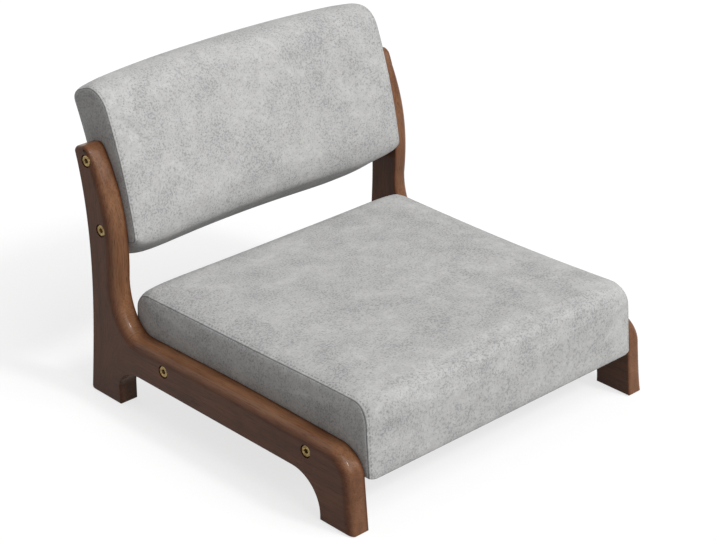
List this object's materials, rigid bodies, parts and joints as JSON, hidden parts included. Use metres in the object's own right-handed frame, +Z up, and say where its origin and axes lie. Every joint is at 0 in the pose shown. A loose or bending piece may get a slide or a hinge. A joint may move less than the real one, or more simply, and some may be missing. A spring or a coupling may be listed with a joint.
{
  "type": "legless floor lounge chair",
  "caption": "Low floor chair with an upholstered seat and a bowed, leaning backrest bolted between two one-piece L-shaped wooden side boards.",
  "frame": {"origin": "on the floor, under the middle of the whole chair", "axes": "+X to the right as seen from the front, -Y towards the front of the seat, +Z up; left and right in the node names are as seen from the front"},
  "size_m": [0.488, 0.5266, 0.3882],
  "materials": {
    "walnut": "dark walnut stain under satin lacquer",
    "suede_cloth": "light grey faux-suede cloth with fine darker mottling",
    "foam": "open-cell polyurethane foam",
    "plywood": "bare plywood",
    "pine": "bare planed softwood",
    "antique_brass": "antique brass plating, worn bright at the rim",
    "zinc_steel": "zinc plated steel",
    "felt": "pressed felt",
    "backing_cloth": "black non-woven upholstery backing"
  },
  "bodies": {
    "root": {"left_side_frame": "walnut", "left_front_foot_glide": "felt", "left_rear_foot_glide": "felt", "right_side_frame": "walnut", "right_front_foot_glide": "felt", "right_rear_foot_glide": "felt", "seat_cover": "suede_cloth", "seat_foam": "foam", "seat_plywood_board": "plywood", "seat_dust_cover": "backing_cloth", "seat_front_cross_rail": "pine", "seat_rear_cross_rail": "pine", "left_seat_batten": "pine", "seat_left_front_batten_screw": "zinc_steel", "seat_left_front_rail_screw": "zinc_steel", "seat_left_rear_batten_screw": "zinc_steel", "seat_left_rear_rail_screw": "zinc_steel", "right_seat_batten": "pine", "seat_right_front_batten_screw": "zinc_steel", "seat_right_front_rail_screw": "zinc_steel", "seat_right_rear_batten_screw": "zinc_steel", "seat_right_rear_rail_screw": "zinc_steel", "backrest_cover": "suede_cloth", "backrest_front_foam": "foam", "backrest_rear_foam": "foam", "backrest_plywood_panel": "plywood", "backrest_left_core_block": "pine", "backrest_left_lower_panel_screw": "zinc_steel", "backrest_left_upper_panel_screw": "zinc_steel", "backrest_right_core_block": "pine", "backrest_right_lower_panel_screw": "zinc_steel", "backrest_right_upper_panel_screw": "zinc_steel", "left_seat_front_bolt": "antique_brass", "left_seat_front_insert": "zinc_steel", "left_seat_rear_bolt": "antique_brass", "left_seat_rear_insert": "zinc_steel", "left_back_lower_bolt": "antique_brass", "left_back_lower_insert": "zinc_steel", "left_back_upper_bolt": "antique_brass", "left_back_upper_insert": "zinc_steel", "right_seat_front_bolt": "antique_brass", "right_seat_front_insert": "zinc_steel", "right_seat_rear_bolt": "antique_brass", "right_seat_rear_insert": "zinc_steel", "right_back_lower_bolt": "antique_brass", "right_back_lower_insert": "zinc_steel", "right_back_upper_bolt": "antique_brass", "right_back_upper_insert": "zinc_steel"}
  },
  "joints": []
}
